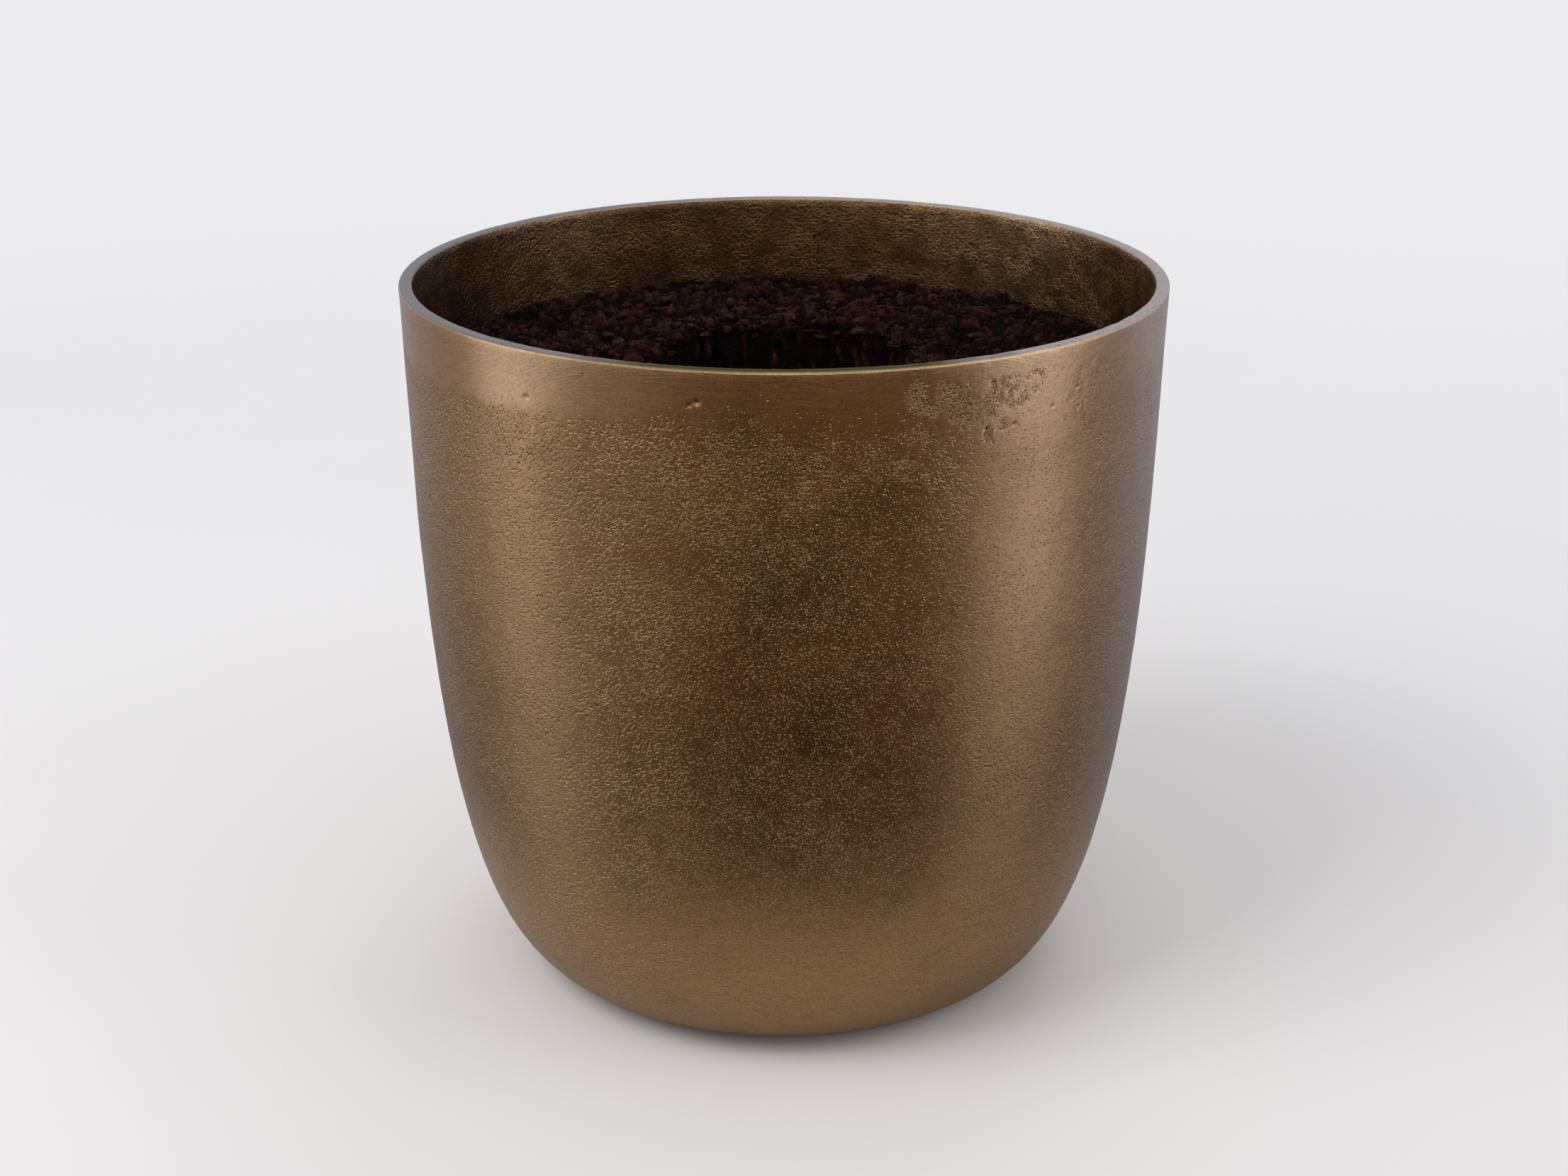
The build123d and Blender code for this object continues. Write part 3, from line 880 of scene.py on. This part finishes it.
def felt_pads():
    """The four discs under the foot ring."""
    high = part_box("floor_pads")[1]
    reach = high.x - PAD_R
    bm = bmesh.new()
    for sx in (-1, 1):
        for sy in (-1, 1):
            felt_disc(bm, Vector((sx * reach, sy * reach, 0)), high.z)
    bmesh.ops.recalc_face_normals(bm, faces=bm.faces)
    return finish_mesh(bm, "felt_pads")


def felt_material():
    """Dark grey matted felt."""
    made, g, at = material("felt")
    mat = g.noise(at, 1400, 4, 0.7, 1.2)
    cloud = g.noise(at, 230, 3)
    tone = g.mix(cloud, (0.045, 0.040, 0.036), (0.10, 0.088, 0.078))
    tone = g.mix(g.step(mat, 0.55, 0.75), tone, (0.20, 0.18, 0.16))
    shader = g.node("BsdfPrincipled", {"Base Color": tone, "Roughness": 0.95, "Sheen Weight": 0.1,
                                       "Specular IOR Level": 0.15, "Normal": g.bump(0.0004, mat)})
    g.surface(shader)
    return made


pads = link("felt_discs", felt_pads(), "pot")
pads.data.materials.append(felt_material())
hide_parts("floor_pads")


# ---------------------------------------------------------------- studio


FLOOR_R = 4.0
POT_MIDDLE = Vector((0, 0, 0.12))

# What the shiny metal sees round it, as (azimuth, half width and soft edge in degrees, colour)
PANELS = [
    (180, 68, 14, (0.42, 0.44, 0.54)), (-84, 40, 28, (0.34, 0.315, 0.29)),
    (-86, 9, 7, (1.20, 1.28, 1.55)), (79, 14, 9, (0.97, 1.03, 1.28)),
]


def floor():
    """A pale floor that fades into the backdrop; shiny metal sees only the part of it near the pot."""
    bm = bmesh.new()
    bmesh.ops.create_circle(bm, cap_ends=True, segments=96, radius=FLOOR_R)
    mesh = bpy.data.meshes.new("floor")
    bm.to_mesh(mesh)
    bm.free()
    plane = bpy.data.objects.new("floor", mesh)
    bpy.context.scene.collection.objects.link(plane)
    made, g, at = material("floor")
    away = g.vector("LENGTH", at)
    path = g.node("LightPath")
    tone = g.mix(g.noise(at, 3, 4), (0.76, 0.755, 0.77), (0.80, 0.795, 0.805))
    tone = g.mix(path.outputs["Is Glossy Ray"], tone, (0.46, 0.46, 0.48))
    matte = g.node("BsdfDiffuse", {"Color": tone})
    seen_far = g.math("MULTIPLY", path.outputs["Is Glossy Ray"], g.step(away, 0.13, 0.23))
    faded = g.math("MAXIMUM", seen_far, g.step(away, 0.35, 1.5))
    clear = g.node("BsdfTransparent")
    g.surface(g.node("MixShader", {0: faded, 1: matte.outputs[0], 2: clear.outputs[0]}))
    mesh.materials.append(made)


def toward(az):
    """The level direction to an azimuth."""
    a = math.radians(az)
    return (math.sin(a), -math.cos(a), 0.0)


def studio():
    """A pale room for the eye and for soft light; shiny metal sees soft boxes in a dim, warm room."""
    world = bpy.data.worlds.new("studio")
    bpy.context.scene.world = world
    g = Graph(world)
    way = g.node("TexCoord").outputs["Generated"]
    level = g.vector("NORMALIZE", g.scaled(way, (1, 1, 0)))
    up = g.axes(way)[2]

    def panel(az, half, soft):
        """1 within an angle of an azimuth, 0 away from it, with a soft edge."""
        outer, inner = (math.cos(math.radians(angle)) for angle in (half + soft, max(0, half - soft)))
        return g.step(g.vector("DOT_PRODUCT", level, toward(az)), outer, inner)

    # The room's tone by the height in which the metal sees it
    room = g.mix(g.step(up, -0.54, -0.34), (0.045, 0.029, 0.013), (0.125, 0.077, 0.040))
    room = g.mix(g.step(up, -0.34, -0.20), room, (0.155, 0.092, 0.046))
    room = g.mix(g.step(up, -0.14, 0.14), room, (0.46, 0.40, 0.35))
    room = g.mix(g.step(up, 0.12, 0.50), room, (1.05, 1.02, 0.98))
    low = g.math("MULTIPLY", g.step(up, -0.80, -0.45, 0.25, 1.0), g.step(up, -0.45, -0.22, 0.55, 1.0))
    low = g.math("MULTIPLY", low, g.step(up, -0.24, 0.14, 1.0, 1.6))
    for az, half, soft, colour in PANELS:
        room = g.mix(panel(az, half, soft), room, g.vector("MULTIPLY", colour, low))
    path = g.node("LightPath")
    plain = g.mix(g.step(up, -0.1, 0.5), (0.84, 0.835, 0.86), (0.90, 0.90, 0.915))
    soft_light = g.mix(path.outputs["Is Camera Ray"], (0.66, 0.66, 0.67), plain)
    seen = g.mix(path.outputs["Is Glossy Ray"], soft_light, room)
    shade = g.node("Background", {"Color": seen, "Strength": 1.0})
    out = g.node("OutputWorld")
    g.tree.links.new(shade.outputs[0], out.inputs["Surface"])


def soft_box(name, where, size, power, colour=(1, 1, 1)):
    """A rectangular light aimed at the pot, which shiny metal does not see."""
    light = bpy.data.lights.new(name, "AREA")
    light.shape = "RECTANGLE"
    light.size, light.size_y = size
    light.energy = power
    light.color = colour
    made = bpy.data.objects.new(name, light)
    made.location = where
    made.rotation_euler = (POT_MIDDLE - Vector(where)).to_track_quat("-Z", "Y").to_euler()
    made.visible_glossy = False
    bpy.context.scene.collection.objects.link(made)


floor()
studio()
soft_box("key", (-1.1, -0.7, 1.5), (1.1, 1.1), 17, (1.0, 0.98, 0.96))
soft_box("fill", (1.5, -0.5, 1.0), (0.9, 1.2), 5, (1.0, 0.97, 0.94))
soft_box("back", (0.5, 1.6, 1.4), (1.2, 0.9), 6)

# ---------------------------------------------------------------- camera

# The place is from a camera fitted to the photograph's rim and right edge; the aim lets the whole pot in
EYE = Vector((0.0, -0.760, RIM_Z + 0.1744))
AIM = Vector((0.0, 0.0, 0.134))
camera = bpy.data.objects.new("camera", bpy.data.cameras.new("camera"))
bpy.context.scene.collection.objects.link(camera)
bpy.context.scene.camera = camera
camera.location = EYE
camera.rotation_euler = (AIM - EYE).to_track_quat("-Z", "Y").to_euler()
camera.data.lens = 52
camera.data.sensor_width = 36
camera.data.clip_start = 0.01
bpy.context.scene.view_settings.view_transform = "Standard"
